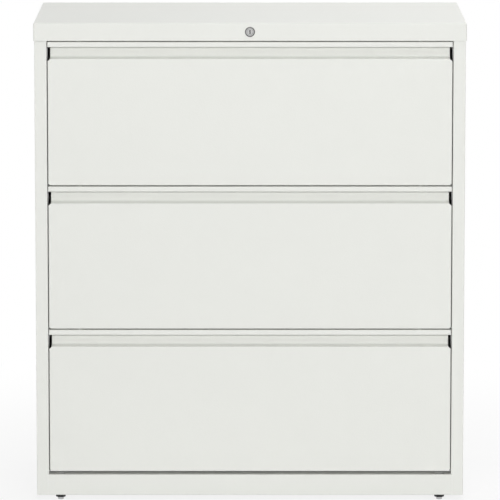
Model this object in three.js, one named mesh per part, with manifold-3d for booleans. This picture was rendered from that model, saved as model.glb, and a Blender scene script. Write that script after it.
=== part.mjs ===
// Lateral filing cabinet with three drawers, in millimetres.
// The floor is z = 0, the drawers open towards -Y, and x = 0 is the middle of the width.
import * as THREE from "three";
import { mergeVertices } from "three/addons/utils/BufferGeometryUtils.js";
import Module from "manifold-3d";

const wasm = await Module();
wasm.setup();

// Overall size, measured over the top cap
const WIDTH = 914.4;
const DEPTH = 472.6;
const HEIGHT = 1023.6;

// Sheet metal
const SHEET = 1.0;
const MID = SHEET / 2; // from a sheet's outer face to its middle line
const GAP = 0.3; // left between pieces that lie on each other
const FOLD = 1.5; // radius of an ordinary fold, at the middle line
const FOLD_STEPS = 3;
const PAST = 1.0; // how far a cutting shape runs past what it cuts

// Case
const CAP_OVERHANG = 2.0; // past each side panel
const CAP_EDGE = 3.5; // radius of the cap's folded edges
const CAP_CORNER = 2.5; // radius of its upright corners
const FASCIA = 38.0;
const FASCIA_RETURN = 13.0;
const STILE = 26.0;
const STILE_RETURN = 18.0;
const STILE_HEM = 10.0;
const REAR_FLANGE = 18.0;
const BACK_FLANGE = 10.0;
const BODY_HALF = WIDTH / 2 - CAP_OVERHANG;
const FRONT = -DEPTH / 2 + SHEET + GAP; // plane of the stiles and drawer faces
const REAR = -FRONT; // plane of the side panels' rear flanges
const OPENING_HALF = BODY_HALF - STILE;
const CASE_TOP = HEIGHT - CAP_EDGE - 0.5; // the side panels end just under the cap's edge fold

// Base
const BASE_BOTTOM = 11.2;
const BASE_RAIL = 44.4;
const BASE_TOP = BASE_BOTTOM + BASE_RAIL;
const BASE_FLANGE = 40.0;
const BASE_LIP = 8.0;
const BASE_HALF = OPENING_HALF + 2.5; // the stiles are notched to take it
const REAR_RAIL_HALF = BODY_HALF - 5.0; // clear of the back panel's folds
const ACCESS_HOLE = 22.0;
const GLIDE_X = 405.0;
const GLIDE_SETBACK = 14.0; // from the rail's web

// Levelling glides
const NOSE = 12.4;
const NOSE_FLAT = 10.8;
const NOSE_HEIGHT = 5.2;
const COLLAR = 21.0; // across the corners of the hexagon
const STEM = 9.5;
const STEM_TOP = 38.0;
const STEM_HOLE = 10.4;
const STEM_CHAMFER = 1.0;
const DRIVER_SLOT = { wide: 1.4, deep: 2.5 };

// Drawers, numbered from the top
const DRAWERS = ["top", "middle", "bottom"];
const TOP_GAP = 2.0;
const PITCH = 307.5;
const FACE = 305.0; // height of a drawer front
const FACE_GAP = 2.0; // on each side of it
const FACE_HALF = OPENING_HALF - FACE_GAP;
const FACE_RETURN = 18.0;
const LIP = 11.0;
const LIP_HEM = 6.0;
const LIP_HEM_WIDTH = 2.4;
const PULL_OPENING = 25.0;
const PULL_DEPTH = 17.0;
const SHELF = FACE - LIP - PULL_OPENING; // front edge of the finger recess's floor
const SHELF_RISE = 3.0;
const SHELF_FOLD = 5.0; // radius where the floor turns up
const END_NOTCH = 5.3; // the recess stops short of the face's ends
const FACE_SEAM = 7.0; // below the recess, where its section takes over from the face's
const CORNER_RELIEF = 2.5; // between the lower return and the side returns
const FLANGE_HOLE = 9.0;
const FLANGE_HOLE_X = 361.0;

// Inner front, which closes the drawer front from behind
const INNER_HALF = FACE_HALF - 0.7;
const INNER_SHOULDER = SHELF - 2 * END_NOTCH; // its full width ends below the recess's open ends
const INNER_TOP = FACE - 14.0;
const FOOT_HALF = FACE_HALF - 4.0;
const FOOT_FRONT = FRONT + 4.0;
const FOOT_TOP = 12.0;

// Drawer tub
const TUB_HALF = 413.0;
const TUB_BOTTOM = 14.0;
const TUB_TOP = 258.0;
const TUB_FLANGE = 10.0;
const TUB_REAR = 186.0;
const TUB_BACK_HALF = TUB_HALF - SHEET - 0.7;
const TUB_BACK_FOOT = 12.0;
const TUB_BACK_FLANGE = 9.0;
const RAIL_FRONT = FRONT + 32.0;
const RAIL_SPACING = 311.0; // hanging folders of letter size, side to side
const RAIL_THICK = 2.5;
const RAIL_DROP = 8.0;
const RAIL_RISE = 12.0;
const RAIL_HALF = TUB_HALF - 1.5;
const RAIL_CHAMFER = 3.0;

// Slides
const SLIDE_Z = 62.0; // height of a slide's middle above its drawer front's lower edge
const SLIDE_FRONT = -213.0;
const SLIDE_LENGTH = 400.0;
const SLIDE_SHEET = 1.2;
const SLIDE_FOLD = 1.0;
const SLIDE_LIP = 2.4;
const BALL_GAP = 3.2; // between the flanges of two members
const SLIDE_WALL_X = 426.2; // the outer member's back, against the uprights
const OUTER_HALF = 22.8; // half height of the outer member
const MID_HALF = OUTER_HALF - SLIDE_SHEET - BALL_GAP;
const INNER_MEMBER_HALF = MID_HALF - SLIDE_SHEET - BALL_GAP;
const OUTER_DEEP = 8.6;
const NESTED_DEEP = 7.4; // of the middle and inner members
const WEB_GAP = 2.0; // between the backs of the outer and middle members

// Uprights
const UPRIGHT_X = SLIDE_WALL_X + GAP;
const UPRIGHT_WIDE = 33.0;
const UPRIGHT_FRONTS = { front: FRONT + 30.0, rear: 150.0 };
const UPRIGHT_BOTTOM = BASE_TOP + 2.4;
const UPRIGHT_TOP = 980.0;
const SLOT_HIGH = 14.0;
const SLOT_WIDE = 5.0;
const SLOT_OFFSET = 12.0;

// Lock
const LOCK_Z = HEIGHT - 18.4;
const BEZEL = 21.5;
const BEZEL_OUT = 2.2;
const BEZEL_CHAMFER = 1.0;
const BARREL = 18.6;
const BARREL_HOLE = 19.2;
const BARREL_END = -212.5;
const PLUG = 13.4;
const PLUG_BORE = 14.0;
const PLUG_INSET = 0.4; // of its face behind the bezel's
const KEYWAY = { wide: 2.2, high: 8.4, deep: 12.0 };
const TAIL = 7.0;
const CAM_FRONT = -211.5;
const CAM_ARM = 9.0;
const CAM_PIN = 5.0;
const CAM_RIM = 1.5; // round the pin
const CAM_REACH = CAM_ARM * Math.SQRT1_2; // of the pin, sideways and down, at either end of its turn
const BAR_FRONT = -211.0;
const LINK_FRONT = -208.5;
const PLATE = 2.0; // thickness of the cam, link bar and lock bar
const SLOT_PLAY = 0.6;
const PIN_END = 0.6; // of a pin past the plate it moves
const LIFT = 2 * CAM_REACH; // travel of link bar and lock bar in a quarter turn
const BAR = { left: 434.0, right: 446.0, bottom: 225.0, top: 992.0 };
const LIFT_PIN = { x: 430.0, z: 985.0, size: 6.0 };
const HOOK = { left: 417.0, bottom: 170.0, top: 188.0, slope: 6.0 }; // heights above a drawer's lower edge
const CATCH = { bottom: 192.0, top: 212.0, sheet: 1.5, reach: 424.0, front: -205.5, rear: -178.0 };
const GUIDES = { upper: [937.7, 977.7], lower: [300.0, 340.0] };
const GUIDE_SHEET = 1.2;

// Facets round a full circle, and the half of them that an outline's arc is given
const ROUND_STEPS = 24;
const ARC_STEPS = ROUND_STEPS / 2;

// Finishes
const paint = () => new THREE.MeshStandardMaterial({ color: 0xe8e9e4, roughness: 0.5, metalness: 0.0 });
const zinc = () => new THREE.MeshStandardMaterial({ color: 0xb9bcc0, roughness: 0.35, metalness: 1.0 });
const chrome = () => new THREE.MeshStandardMaterial({ color: 0xc9cbcd, roughness: 0.18, metalness: 1.0 });
const blackSteel = () => new THREE.MeshStandardMaterial({ color: 0x1d1d1e, roughness: 0.5, metalness: 0.3 });

// Solids and booleans

function solid(geometry) {
  const plain = geometry.clone();
  plain.deleteAttribute("normal");
  plain.deleteAttribute("uv");
  const merged = mergeVertices(plain, 1e-4);
  const vertProperties = merged.attributes.position.array;
  const triVerts = new Uint32Array(merged.index.array);
  return new wasm.Manifold(new wasm.Mesh({ numProp: 3, vertProperties, triVerts }));
}

function geometryOf(body) {
  const mesh = body.getMesh();
  const geometry = new THREE.BufferGeometry();
  geometry.setAttribute("position", new THREE.BufferAttribute(mesh.vertProperties, 3));
  geometry.setIndex(new THREE.BufferAttribute(mesh.triVerts, 1));
  geometry.computeVertexNormals();
  return geometry;
}

function join(...geometries) {
  return geometryOf(geometries.map(solid).reduce((whole, next) => whole.add(next)));
}

function cut(geometry, ...tools) {
  return geometryOf(tools.map(solid).reduce((rest, tool) => rest.subtract(tool), solid(geometry)));
}

function common(...geometries) {
  return geometryOf(geometries.map(solid).reduce((shared, next) => shared.intersect(next)));
}

// Outlines

function outline(points) {
  return new THREE.Shape(points.map(([x, y]) => new THREE.Vector2(x, y)));
}

function rectangle(left, bottom, right, top) {
  return outline([[left, bottom], [right, bottom], [right, top], [left, top]]);
}

// A rectangle whose corners are arcs of the given radius
function roundedRectangle(left, bottom, right, top, radius) {
  const shape = new THREE.Shape();
  const quarter = Math.PI / 2;
  shape.absarc(right - radius, bottom + radius, radius, -quarter, 0);
  shape.absarc(right - radius, top - radius, radius, 0, quarter);
  shape.absarc(left + radius, top - radius, radius, quarter, 2 * quarter);
  shape.absarc(left + radius, bottom + radius, radius, 2 * quarter, 3 * quarter);
  return shape;
}

// A slot with round ends, from one point to another
function slotPath([x0, y0], [x1, y1], radius) {
  const along = Math.atan2(y1 - y0, x1 - x0);
  const path = new THREE.Path();
  path.absarc(x0, y0, radius, along + Math.PI / 2, along + (3 * Math.PI) / 2);
  path.absarc(x1, y1, radius, along - Math.PI / 2, along + Math.PI / 2);
  return path;
}

// The section of a sheet folded along a middle line. A point's third value is its fold radius.
function foldedSheet(line, sheet = SHEET) {
  const sides = [[], []];
  const add = (point, normal) => {
    sides[0].push(point.clone().addScaledVector(normal, sheet / 2));
    sides[1].unshift(point.clone().addScaledVector(normal, -sheet / 2));
  };
  const points = line.map(([x, y]) => new THREE.Vector2(x, y));
  const headings = points.slice(1).map((point, i) => point.clone().sub(points[i]).normalize());
  const normalOf = (heading) => new THREE.Vector2(-heading.y, heading.x);
  add(points[0], normalOf(headings[0]));
  for (let i = 1; i < points.length - 1; i++) {
    const radius = line[i][2] ?? FOLD;
    const [before, after] = [headings[i - 1], headings[i]];
    const turn = Math.atan2(before.cross(after), before.dot(after));
    const start = points[i].clone().addScaledVector(before, -radius * Math.tan(Math.abs(turn) / 2));
    const inward = normalOf(before).multiplyScalar(Math.sign(turn));
    const center = start.clone().addScaledVector(inward, radius);
    for (let step = 0; step <= FOLD_STEPS; step++) {
      const heading = before.clone().rotateAround(new THREE.Vector2(), (turn * step) / FOLD_STEPS);
      const normal = normalOf(heading);
      add(center.clone().addScaledVector(normal, -Math.sign(turn) * radius), normal);
    }
  }
  add(points.at(-1), normalOf(headings.at(-1)));
  return new THREE.Shape([...sides[0], ...sides[1]]);
}

// Extrusions between two values of one axis. The outline is drawn in the other two, in the order XYZ.
const AXES = {
  x: [[0, 1, 0], [0, 0, 1], [1, 0, 0]],
  y: [[1, 0, 0], [0, 0, 1], [0, -1, 0]],
  z: [[1, 0, 0], [0, 1, 0], [0, 0, 1]],
};

function extrude(shape, axis, from, to, curveSegments = 2) {
  const geometry = new THREE.ExtrudeGeometry(shape, { depth: to - from, bevelEnabled: false, curveSegments });
  const basis = new THREE.Matrix4().makeBasis(...AXES[axis].map((v) => new THREE.Vector3(...v)));
  const start = { x: [from, 0, 0], y: [0, to, 0], z: [0, 0, from] }[axis];
  return geometry.applyMatrix4(basis.setPosition(...start));
}

function box([x0, y0, z0], [x1, y1, z1]) {
  return extrude(rectangle(x0, y0, x1, y1), "z", z0, z1);
}

// A round bar along an axis, centred on a point of the plane across it
function roundBar(axis, [u, v], diameter, from, to) {
  const shape = new THREE.Shape().absarc(u, v, diameter / 2, 0, 2 * Math.PI);
  return extrude(shape, axis, from, to, ARC_STEPS);
}

// A body turned about the Y axis through the lock, from points of radius and y
function lockTurned(points) {
  const profile = points.map(([radius, y]) => new THREE.Vector2(radius, y));
  return new THREE.LatheGeometry(profile, ROUND_STEPS).translate(0, 0, LOCK_Z);
}

// Case

function topCap() {
  const half = WIDTH / 2;
  const deep = DEPTH / 2;
  const below = HEIGHT - FASCIA;
  const pan = (inset, bottom) => {
    const edge = CAP_EDGE - inset;
    const corner = CAP_CORNER - inset;
    const [x, y, z] = [half - inset, deep - inset, HEIGHT - inset];
    return common(
      extrude(roundedRectangle(-y, bottom - edge, y, z, edge), "x", -x, x),
      extrude(roundedRectangle(-x, bottom - edge, x, z, edge), "y", -y, y),
      extrude(roundedRectangle(-x, -y, x, y, corner), "z", bottom, z),
    );
  };
  const seam = below + FASCIA / 4; // where the folded lower edge takes over from the plain fascia
  const lowerFold = foldedSheet([
    [MID - deep, seam + PAST],
    [MID - deep, below + MID],
    [FASCIA_RETURN - deep, below + MID],
  ]);
  const reach = OPENING_HALF - GAP;
  const plainEdge = box([-reach, -DEPTH, below - PAST], [reach, FRONT, seam]);
  const shell = cut(pan(0, below), pan(SHEET, below - CAP_EDGE), plainEdge);
  const lockHole = roundBar("y", [0, LOCK_Z], BARREL_HOLE, -deep - PAST, FRONT + PAST);
  return cut(join(shell, extrude(lowerFold, "x", -reach, reach)), lockHole);
}

// The right side, folded round the front into a stile and round the rear into a flange
function sidePanel() {
  const edge = OPENING_HALF + MID;
  const section = foldedSheet([
    [edge + STILE_HEM, FRONT + STILE_RETURN],
    [edge, FRONT + STILE_RETURN],
    [edge, FRONT + MID],
    [BODY_HALF - MID, FRONT + MID],
    [BODY_HALF - MID, REAR - MID],
    [BODY_HALF - REAR_FLANGE, REAR - MID],
  ]);
  const [low, high] = [BASE_BOTTOM - PAST, BASE_TOP + GAP];
  const rear = FRONT + STILE_RETURN + PAST;
  const railNotch = box([OPENING_HALF - PAST, FRONT - PAST, low], [BASE_HALF + GAP, rear, high]);
  const hemNotch = box([OPENING_HALF, rear - 2 * SHEET - PAST, low], [edge + STILE_HEM + PAST, rear, high]);
  return cut(extrude(section, "z", BASE_BOTTOM, CASE_TOP), railNotch, hemNotch);
}

function backPanel() {
  const face = REAR - SHEET - GAP;
  const half = BODY_HALF - SHEET - GAP - MID;
  const section = foldedSheet([
    [-half, face - BACK_FLANGE],
    [-half, face - MID],
    [half, face - MID],
    [half, face - BACK_FLANGE],
  ]);
  return extrude(section, "z", BASE_BOTTOM + SHEET, CASE_TOP - SHEET);
}

// A channel with its web towards the room, its two flanges lipped
function baseRail(web, inward, half) {
  const rear = web + inward * BASE_FLANGE;
  const middle = web + inward * MID;
  const section = foldedSheet([
    [rear, BASE_TOP - BASE_LIP],
    [rear, BASE_TOP - MID],
    [middle, BASE_TOP - MID],
    [middle, BASE_BOTTOM + MID],
    [rear, BASE_BOTTOM + MID],
    [rear, BASE_BOTTOM + BASE_LIP],
  ]);
  const y = web + inward * GLIDE_SETBACK;
  const holes = [-GLIDE_X, GLIDE_X].flatMap((x) => [
    roundBar("z", [x, y], ACCESS_HOLE, BASE_TOP - 2 * SHEET, BASE_TOP + SHEET),
    roundBar("z", [x, y], STEM_HOLE, BASE_BOTTOM - SHEET, BASE_BOTTOM + 2 * SHEET),
  ]);
  return cut(extrude(section, "x", -half, half), ...holes);
}

// A slotted channel on the right side, its web towards the drawers
function upright(front) {
  const web = UPRIGHT_X + MID;
  const edge = BODY_HALF - SHEET - GAP;
  const rear = front + UPRIGHT_WIDE;
  const section = foldedSheet([
    [edge, front + MID],
    [web, front + MID],
    [web, rear - MID],
    [edge, rear - MID],
  ]);
  const middle = (front + rear) / 2;
  const slots = DRAWERS.flatMap((_, i) => [-SLOT_OFFSET, SLOT_OFFSET].map((offset) => {
    const z = drawerBottom(i) + SLIDE_Z + offset;
    return box(
      [UPRIGHT_X - PAST, middle - SLOT_WIDE / 2, z - SLOT_HIGH / 2],
      [UPRIGHT_X + SHEET + PAST, middle + SLOT_WIDE / 2, z + SLOT_HIGH / 2],
    );
  }));
  return cut(extrude(section, "z", UPRIGHT_BOTTOM, UPRIGHT_TOP), ...slots);
}

function glide() {
  const profile = [
    [0, 0],
    [NOSE_FLAT / 2, 0],
    [NOSE / 2, (NOSE - NOSE_FLAT) / 2],
    [NOSE / 2, NOSE_HEIGHT + PAST],
    [STEM / 2, NOSE_HEIGHT + PAST],
    [STEM / 2, STEM_TOP - STEM_CHAMFER],
    [STEM / 2 - STEM_CHAMFER, STEM_TOP],
    [0, STEM_TOP],
  ].map(([radius, z]) => new THREE.Vector2(radius, z));
  const turned = new THREE.LatheGeometry(profile, ROUND_STEPS).rotateX(Math.PI / 2);
  const corners = Array.from({ length: 6 }, (_, i) => [
    (COLLAR / 2) * Math.cos((i * Math.PI) / 3),
    (COLLAR / 2) * Math.sin((i * Math.PI) / 3),
  ]);
  const { wide, deep } = DRIVER_SLOT;
  const driverSlot = box([-STEM, -wide / 2, STEM_TOP - deep], [STEM, wide / 2, STEM_TOP + PAST]);
  return cut(join(turned, extrude(outline(corners), "z", NOSE_HEIGHT, BASE_BOTTOM - GAP)), driverSlot);
}

// Drawers, drawn with z = 0 at the lower edge of the drawer front

function drawerBottom(number) {
  return HEIGHT - FASCIA - TOP_GAP - FACE - number * PITCH;
}

// One sheet: the face with its returns, folded back into the finger recess and out again as a lip
function drawerFront() {
  const face = FRONT + MID;
  const wall = FRONT + PULL_DEPTH + MID;
  const pull = foldedSheet([
    [face, SHELF - FACE_SEAM],
    [face, SHELF - MID],
    [wall, SHELF + SHELF_RISE - MID, SHELF_FOLD],
    [wall, FACE - MID],
    [face, FACE - MID],
    [face, FACE - LIP + MID, LIP_HEM_WIDTH / 2],
    [face + LIP_HEM_WIDTH, FACE - LIP + MID, LIP_HEM_WIDTH / 2],
    [face + LIP_HEM_WIDTH, FACE - LIP + LIP_HEM],
  ]);
  const side = FACE_HALF - MID;
  const pan = foldedSheet([
    [-side, FRONT + FACE_RETURN],
    [-side, face],
    [side, face],
    [side, FRONT + FACE_RETURN],
  ]);
  const lowerReturn = foldedSheet([
    [FRONT + FACE_RETURN, MID],
    [face, MID],
    [face, 2 * CORNER_RELIEF],
  ]);
  const endNotch = [
    [FACE_HALF - END_NOTCH, FACE - LIP - MID],
    [FACE_HALF - END_NOTCH, SHELF],
    [FACE_HALF + PAST, SHELF - END_NOTCH - PAST],
    [FACE_HALF + PAST, FACE - LIP - MID],
  ];
  const notches = [-1, 1].map((side) =>
    extrude(outline(endNotch.map(([x, z]) => [side * x, z])), "y", FRONT - PAST, wall + PAST));
  const holes = [-FLANGE_HOLE_X, FLANGE_HOLE_X].map((x) =>
    roundBar("z", [x, FRONT + PULL_DEPTH / 2], FLANGE_HOLE, FACE - 2 * SHEET, FACE + SHEET));
  return cut(
    join(
      extrude(pan, "z", CORNER_RELIEF, SHELF - END_NOTCH - PAST),
      extrude(pull, "x", -FACE_HALF, FACE_HALF),
      extrude(lowerReturn, "x", CORNER_RELIEF - FACE_HALF, FACE_HALF - CORNER_RELIEF),
    ),
    ...notches,
    ...holes,
  );
}

// The panel that closes the drawer front from behind, with a foot on the front's lower return
function innerFront() {
  const front = FRONT + FACE_RETURN + GAP;
  const bottom = SHEET + GAP;
  const neck = TUB_HALF - 2 * SHEET;
  const panel = outline([
    [-INNER_HALF, bottom],
    [INNER_HALF, bottom],
    [INNER_HALF, INNER_SHOULDER],
    [neck, INNER_SHOULDER],
    [neck, INNER_TOP],
    [-neck, INNER_TOP],
    [-neck, INNER_SHOULDER],
    [-INNER_HALF, INNER_SHOULDER],
  ]);
  const foot = foldedSheet([
    [FOOT_FRONT, bottom + MID],
    [front + MID, bottom + MID],
    [front + MID, FOOT_TOP],
  ]);
  const footSpace = box([-FOOT_HALF, front - PAST, 0], [FOOT_HALF, front + SHEET + PAST, FOOT_TOP - PAST]);
  return join(
    cut(extrude(panel, "y", front, front + SHEET), footSpace),
    extrude(foot, "x", -FOOT_HALF, FOOT_HALF),
  );
}

function tub() {
  const side = TUB_HALF - MID;
  const section = foldedSheet([
    [-side + TUB_FLANGE, TUB_TOP - MID],
    [-side, TUB_TOP - MID],
    [-side, TUB_BOTTOM + MID],
    [side, TUB_BOTTOM + MID],
    [side, TUB_TOP - MID],
    [side - TUB_FLANGE, TUB_TOP - MID],
  ]);
  return extrude(section, "y", FRONT + FACE_RETURN + SHEET + 2 * GAP, TUB_REAR);
}

function tubBack() {
  const face = TUB_REAR - 2 * SHEET;
  const foot = TUB_BOTTOM + SHEET + GAP + MID;
  const top = TUB_TOP - SHEET - GAP - MID;
  const section = foldedSheet([
    [face - TUB_BACK_FOOT, foot],
    [face, foot],
    [face, top],
    [face - TUB_BACK_FLANGE, top],
  ]);
  return extrude(section, "x", -TUB_BACK_HALF, TUB_BACK_HALF);
}

// A bar across the tub that hanging folders hook on. Its ends step over the tub's top flanges.
function hangRail(front) {
  const step = TUB_HALF - TUB_FLANGE - SHEET;
  const seat = TUB_TOP + GAP;
  const top = TUB_TOP + RAIL_RISE;
  const bottom = TUB_TOP - RAIL_DROP;
  const shape = outline([
    [-step, bottom],
    [step, bottom],
    [step, seat],
    [RAIL_HALF, seat],
    [RAIL_HALF, top - RAIL_CHAMFER],
    [RAIL_HALF - RAIL_CHAMFER, top],
    [RAIL_CHAMFER - RAIL_HALF, top],
    [-RAIL_HALF, top - RAIL_CHAMFER],
    [-RAIL_HALF, seat],
    [-step, seat],
  ]);
  return extrude(shape, "y", front, front + RAIL_THICK);
}

// A channel of a telescopic slide, with its back at one x, its mouth at another, and lipped flanges
function slideMember(back, mouth, half) {
  const mid = SLIDE_SHEET / 2;
  const inward = Math.sign(mouth - back);
  const web = back + inward * mid;
  const edge = mouth - inward * mid;
  const [low, high] = [SLIDE_Z - half + mid, SLIDE_Z + half - mid];
  const section = foldedSheet(
    [
      [edge, low + SLIDE_LIP],
      [edge, low, SLIDE_FOLD],
      [web, low, SLIDE_FOLD],
      [web, high, SLIDE_FOLD],
      [edge, high, SLIDE_FOLD],
      [edge, high - SLIDE_LIP],
    ],
    SLIDE_SHEET,
  );
  return extrude(section, "y", SLIDE_FRONT, SLIDE_FRONT + SLIDE_LENGTH);
}

const midBack = SLIDE_WALL_X - SLIDE_SHEET - WEB_GAP;
const innerBack = TUB_HALF + GAP;
const slideMembers = {
  outer: () => slideMember(SLIDE_WALL_X, SLIDE_WALL_X - OUTER_DEEP, OUTER_HALF),
  mid: () => slideMember(midBack, midBack - NESTED_DEEP, MID_HALF),
  inner: () => slideMember(innerBack, innerBack + NESTED_DEEP, INNER_MEMBER_HALF),
};

// An angle on the tub's right side whose ear meets the lock bar's hook
function lockCatch() {
  const mid = CATCH.sheet / 2;
  const side = TUB_HALF + GAP + mid;
  const section = foldedSheet(
    [
      [side, CATCH.rear],
      [side, CATCH.front + mid],
      [CATCH.reach, CATCH.front + mid],
    ],
    CATCH.sheet,
  );
  return extrude(section, "z", CATCH.bottom, CATCH.top);
}

// Lock

function lockBarrel() {
  const face = -DEPTH / 2 - BEZEL_OUT;
  const seat = -DEPTH / 2 - GAP / 3;
  return lockTurned([
    [PLUG_BORE / 2, face],
    [PLUG_BORE / 2, BARREL_END],
    [BARREL / 2, BARREL_END],
    [BARREL / 2, seat],
    [BEZEL / 2, seat],
    [BEZEL / 2, face + BEZEL_CHAMFER],
    [BEZEL / 2 - BEZEL_CHAMFER, face],
    [PLUG_BORE / 2, face],
  ].reverse());
}

function lockPlug() {
  const face = -DEPTH / 2 - BEZEL_OUT + PLUG_INSET;
  const end = CAM_FRONT - GAP;
  const turned = lockTurned([
    [0, face],
    [PLUG / 2, face],
    [PLUG / 2, end],
    [TAIL / 2, end],
    [TAIL / 2, CAM_FRONT + PLATE + GAP],
    [0, CAM_FRONT + PLATE + GAP],
  ]);
  const keyway = box(
    [-KEYWAY.wide / 2, face - PAST, LOCK_Z - KEYWAY.high / 2],
    [KEYWAY.wide / 2, face + KEYWAY.deep, LOCK_Z + KEYWAY.high / 2],
  );
  return cut(turned, keyway);
}

// The cam points down and to the right when the lock is open
function lockCam() {
  const pin = [CAM_REACH, LOCK_Z - CAM_REACH];
  const arm = new THREE.Shape();
  const turn = Math.PI / 4;
  arm.absarc(0, LOCK_Z, PLUG / 2, turn, turn + Math.PI);
  arm.absarc(...pin, CAM_PIN / 2 + CAM_RIM, turn + Math.PI, turn + 2 * Math.PI);
  const plate = extrude(arm, "y", CAM_FRONT, CAM_FRONT + PLATE, ARC_STEPS / 2);
  const stud = roundBar("y", pin, CAM_PIN, CAM_FRONT + PLATE / 2, LINK_FRONT + PLATE + PIN_END);
  const eye = roundBar("y", [0, LOCK_Z], TAIL + 2 * GAP, CAM_FRONT - PAST, CAM_FRONT + PLATE + PAST);
  return cut(join(plate, stud), eye);
}

// A bar behind the fascia: the cam's pin moves it sideways, and its sloping slot lifts the lock bar
function lockLink() {
  const strip = { bottom: 990, top: 1002 };
  const near = { left: CAM_REACH - 13, right: CAM_REACH + 13, bottom: 988, top: 1007 };
  const far = { left: 420, right: 450, bottom: GUIDES.upper[1] + GAP, top: 1005 };
  const taper = 5;
  const plate = outline([
    [near.left, near.bottom],
    [near.right, near.bottom],
    [near.right + taper, strip.bottom],
    [far.left - 2 * taper, strip.bottom],
    [far.left, far.bottom],
    [far.right, far.bottom],
    [far.right, far.top],
    [far.left, far.top],
    [far.left - taper, strip.top],
    [near.right + taper, strip.top],
    [near.right, near.top],
    [near.left, near.top],
  ]);
  const camSlot = [LOCK_Z - CAM_ARM - SLOT_PLAY, LOCK_Z - CAM_REACH + SLOT_PLAY];
  const { x, z, size } = LIFT_PIN;
  plate.holes.push(
    slotPath([CAM_REACH, camSlot[0]], [CAM_REACH, camSlot[1]], CAM_PIN / 2 + SLOT_PLAY),
    slotPath([x, z], [x + LIFT, z + LIFT], size / 2 + SLOT_PLAY),
  );
  return extrude(plate, "y", LINK_FRONT, LINK_FRONT + PLATE, ARC_STEPS / 2);
}

// An upright strip with a hook for each drawer and, at its top, a pin in the link bar's sloping slot
function lockBar() {
  const hooks = DRAWERS.flatMap((_, i) => {
    const z = drawerBottom(i);
    return [
      [BAR.left, z + HOOK.top],
      [HOOK.left, z + HOOK.top],
      [HOOK.left, z + HOOK.bottom + HOOK.slope],
      [BAR.left, z + HOOK.bottom],
    ];
  });
  const tab = { left: LIFT_PIN.x - LIFT_PIN.size, bottom: GUIDES.upper[1] + 2 * GAP };
  const strip = outline([
    [BAR.right, BAR.bottom],
    [BAR.right, BAR.top],
    [tab.left, BAR.top],
    [tab.left, tab.bottom],
    [BAR.left, tab.bottom],
    ...hooks,
    [BAR.left, BAR.bottom],
  ]);
  const { x, z, size } = LIFT_PIN;
  const pin = roundBar("y", [x, z], size, BAR_FRONT + PLATE / 2, LINK_FRONT + PLATE + PIN_END);
  return join(extrude(strip, "y", BAR_FRONT, BAR_FRONT + PLATE), pin);
}

// A channel on the right front upright that the lock bar slides in
function barGuide([bottom, top]) {
  const mid = GUIDE_SHEET / 2;
  const rear = UPRIGHT_FRONTS.front - GAP - mid;
  const play = SLOT_PLAY + mid;
  const [left, right] = [BAR.left - play, BAR.right + play];
  const mouth = BAR_FRONT - PLATE;
  const section = foldedSheet(
    [
      [left, mouth],
      [left, rear],
      [right, rear],
      [right, mouth],
    ],
    GUIDE_SHEET,
  );
  return extrude(section, "z", bottom, top);
}

// Assembly

const cabinet = new THREE.Group();

function place(parent, name, geometry, material) {
  const mesh = new THREE.Mesh(geometry, material);
  mesh.name = name;
  parent.add(mesh);
  return mesh;
}

// A right-hand piece and its mirror image on the left
function placePair(parent, name, geometry, finish) {
  place(parent, `${name}_right`, geometry, finish());
  place(parent, `${name}_left`, geometry, finish()).scale.x = -1;
}

place(cabinet, "top_cap", topCap(), paint());
placePair(cabinet, "side_panel", sidePanel(), paint);
place(cabinet, "back_panel", backPanel(), paint());
place(cabinet, "base_front_rail", baseRail(FRONT, 1, BASE_HALF), paint());
const rearWeb = REAR - 2 * SHEET - 2 * GAP;
place(cabinet, "base_rear_rail", baseRail(rearWeb, -1, REAR_RAIL_HALF), paint());
for (const [where, front] of Object.entries(UPRIGHT_FRONTS)) {
  placePair(cabinet, `upright_${where}`, upright(front), zinc);
}

const glideRows = { front: FRONT + GLIDE_SETBACK, rear: rearWeb - GLIDE_SETBACK };
for (const [where, y] of Object.entries(glideRows)) {
  for (const [side, x] of Object.entries({ left: -GLIDE_X, right: GLIDE_X })) {
    place(cabinet, `glide_${where}_${side}`, glide(), blackSteel()).position.set(x, y, 0);
  }
}

DRAWERS.forEach((name, number) => {
  const drawer = new THREE.Group();
  drawer.position.z = drawerBottom(number);
  cabinet.add(drawer);
  place(drawer, `${name}_drawer_front`, drawerFront(), paint());
  place(drawer, `${name}_inner_front`, innerFront(), paint());
  place(drawer, `${name}_tub`, tub(), paint());
  place(drawer, `${name}_tub_back`, tubBack(), paint());
  place(drawer, `${name}_hang_rail_front`, hangRail(RAIL_FRONT), zinc());
  place(drawer, `${name}_hang_rail_rear`, hangRail(RAIL_FRONT + RAIL_SPACING), zinc());
  place(drawer, `${name}_lock_catch`, lockCatch(), zinc());
  for (const [member, section] of Object.entries(slideMembers)) {
    placePair(drawer, `${name}_slide_${member}`, section(), zinc);
  }
});

place(cabinet, "lock_barrel", lockBarrel(), chrome());
place(cabinet, "lock_plug", lockPlug(), chrome());
place(cabinet, "lock_cam", lockCam(), zinc());
place(cabinet, "lock_link", lockLink(), zinc());
place(cabinet, "lock_bar", lockBar(), zinc());
for (const [where, span] of Object.entries(GUIDES)) {
  place(cabinet, `lock_guide_${where}`, barGuide(span), zinc());
}

export default cabinet;
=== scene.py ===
"""Lateral filing cabinet with three drawers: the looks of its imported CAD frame, laid out as a Blender add-on.

Lengths are in metres. The floor is z = 0, the drawers open towards -Y, and x = 0 is the middle of the width.
"""

import math
from contextlib import contextmanager

import bmesh
import bpy
from bpy.props import FloatProperty, FloatVectorProperty, PointerProperty
from mathutils import Matrix, Vector


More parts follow.
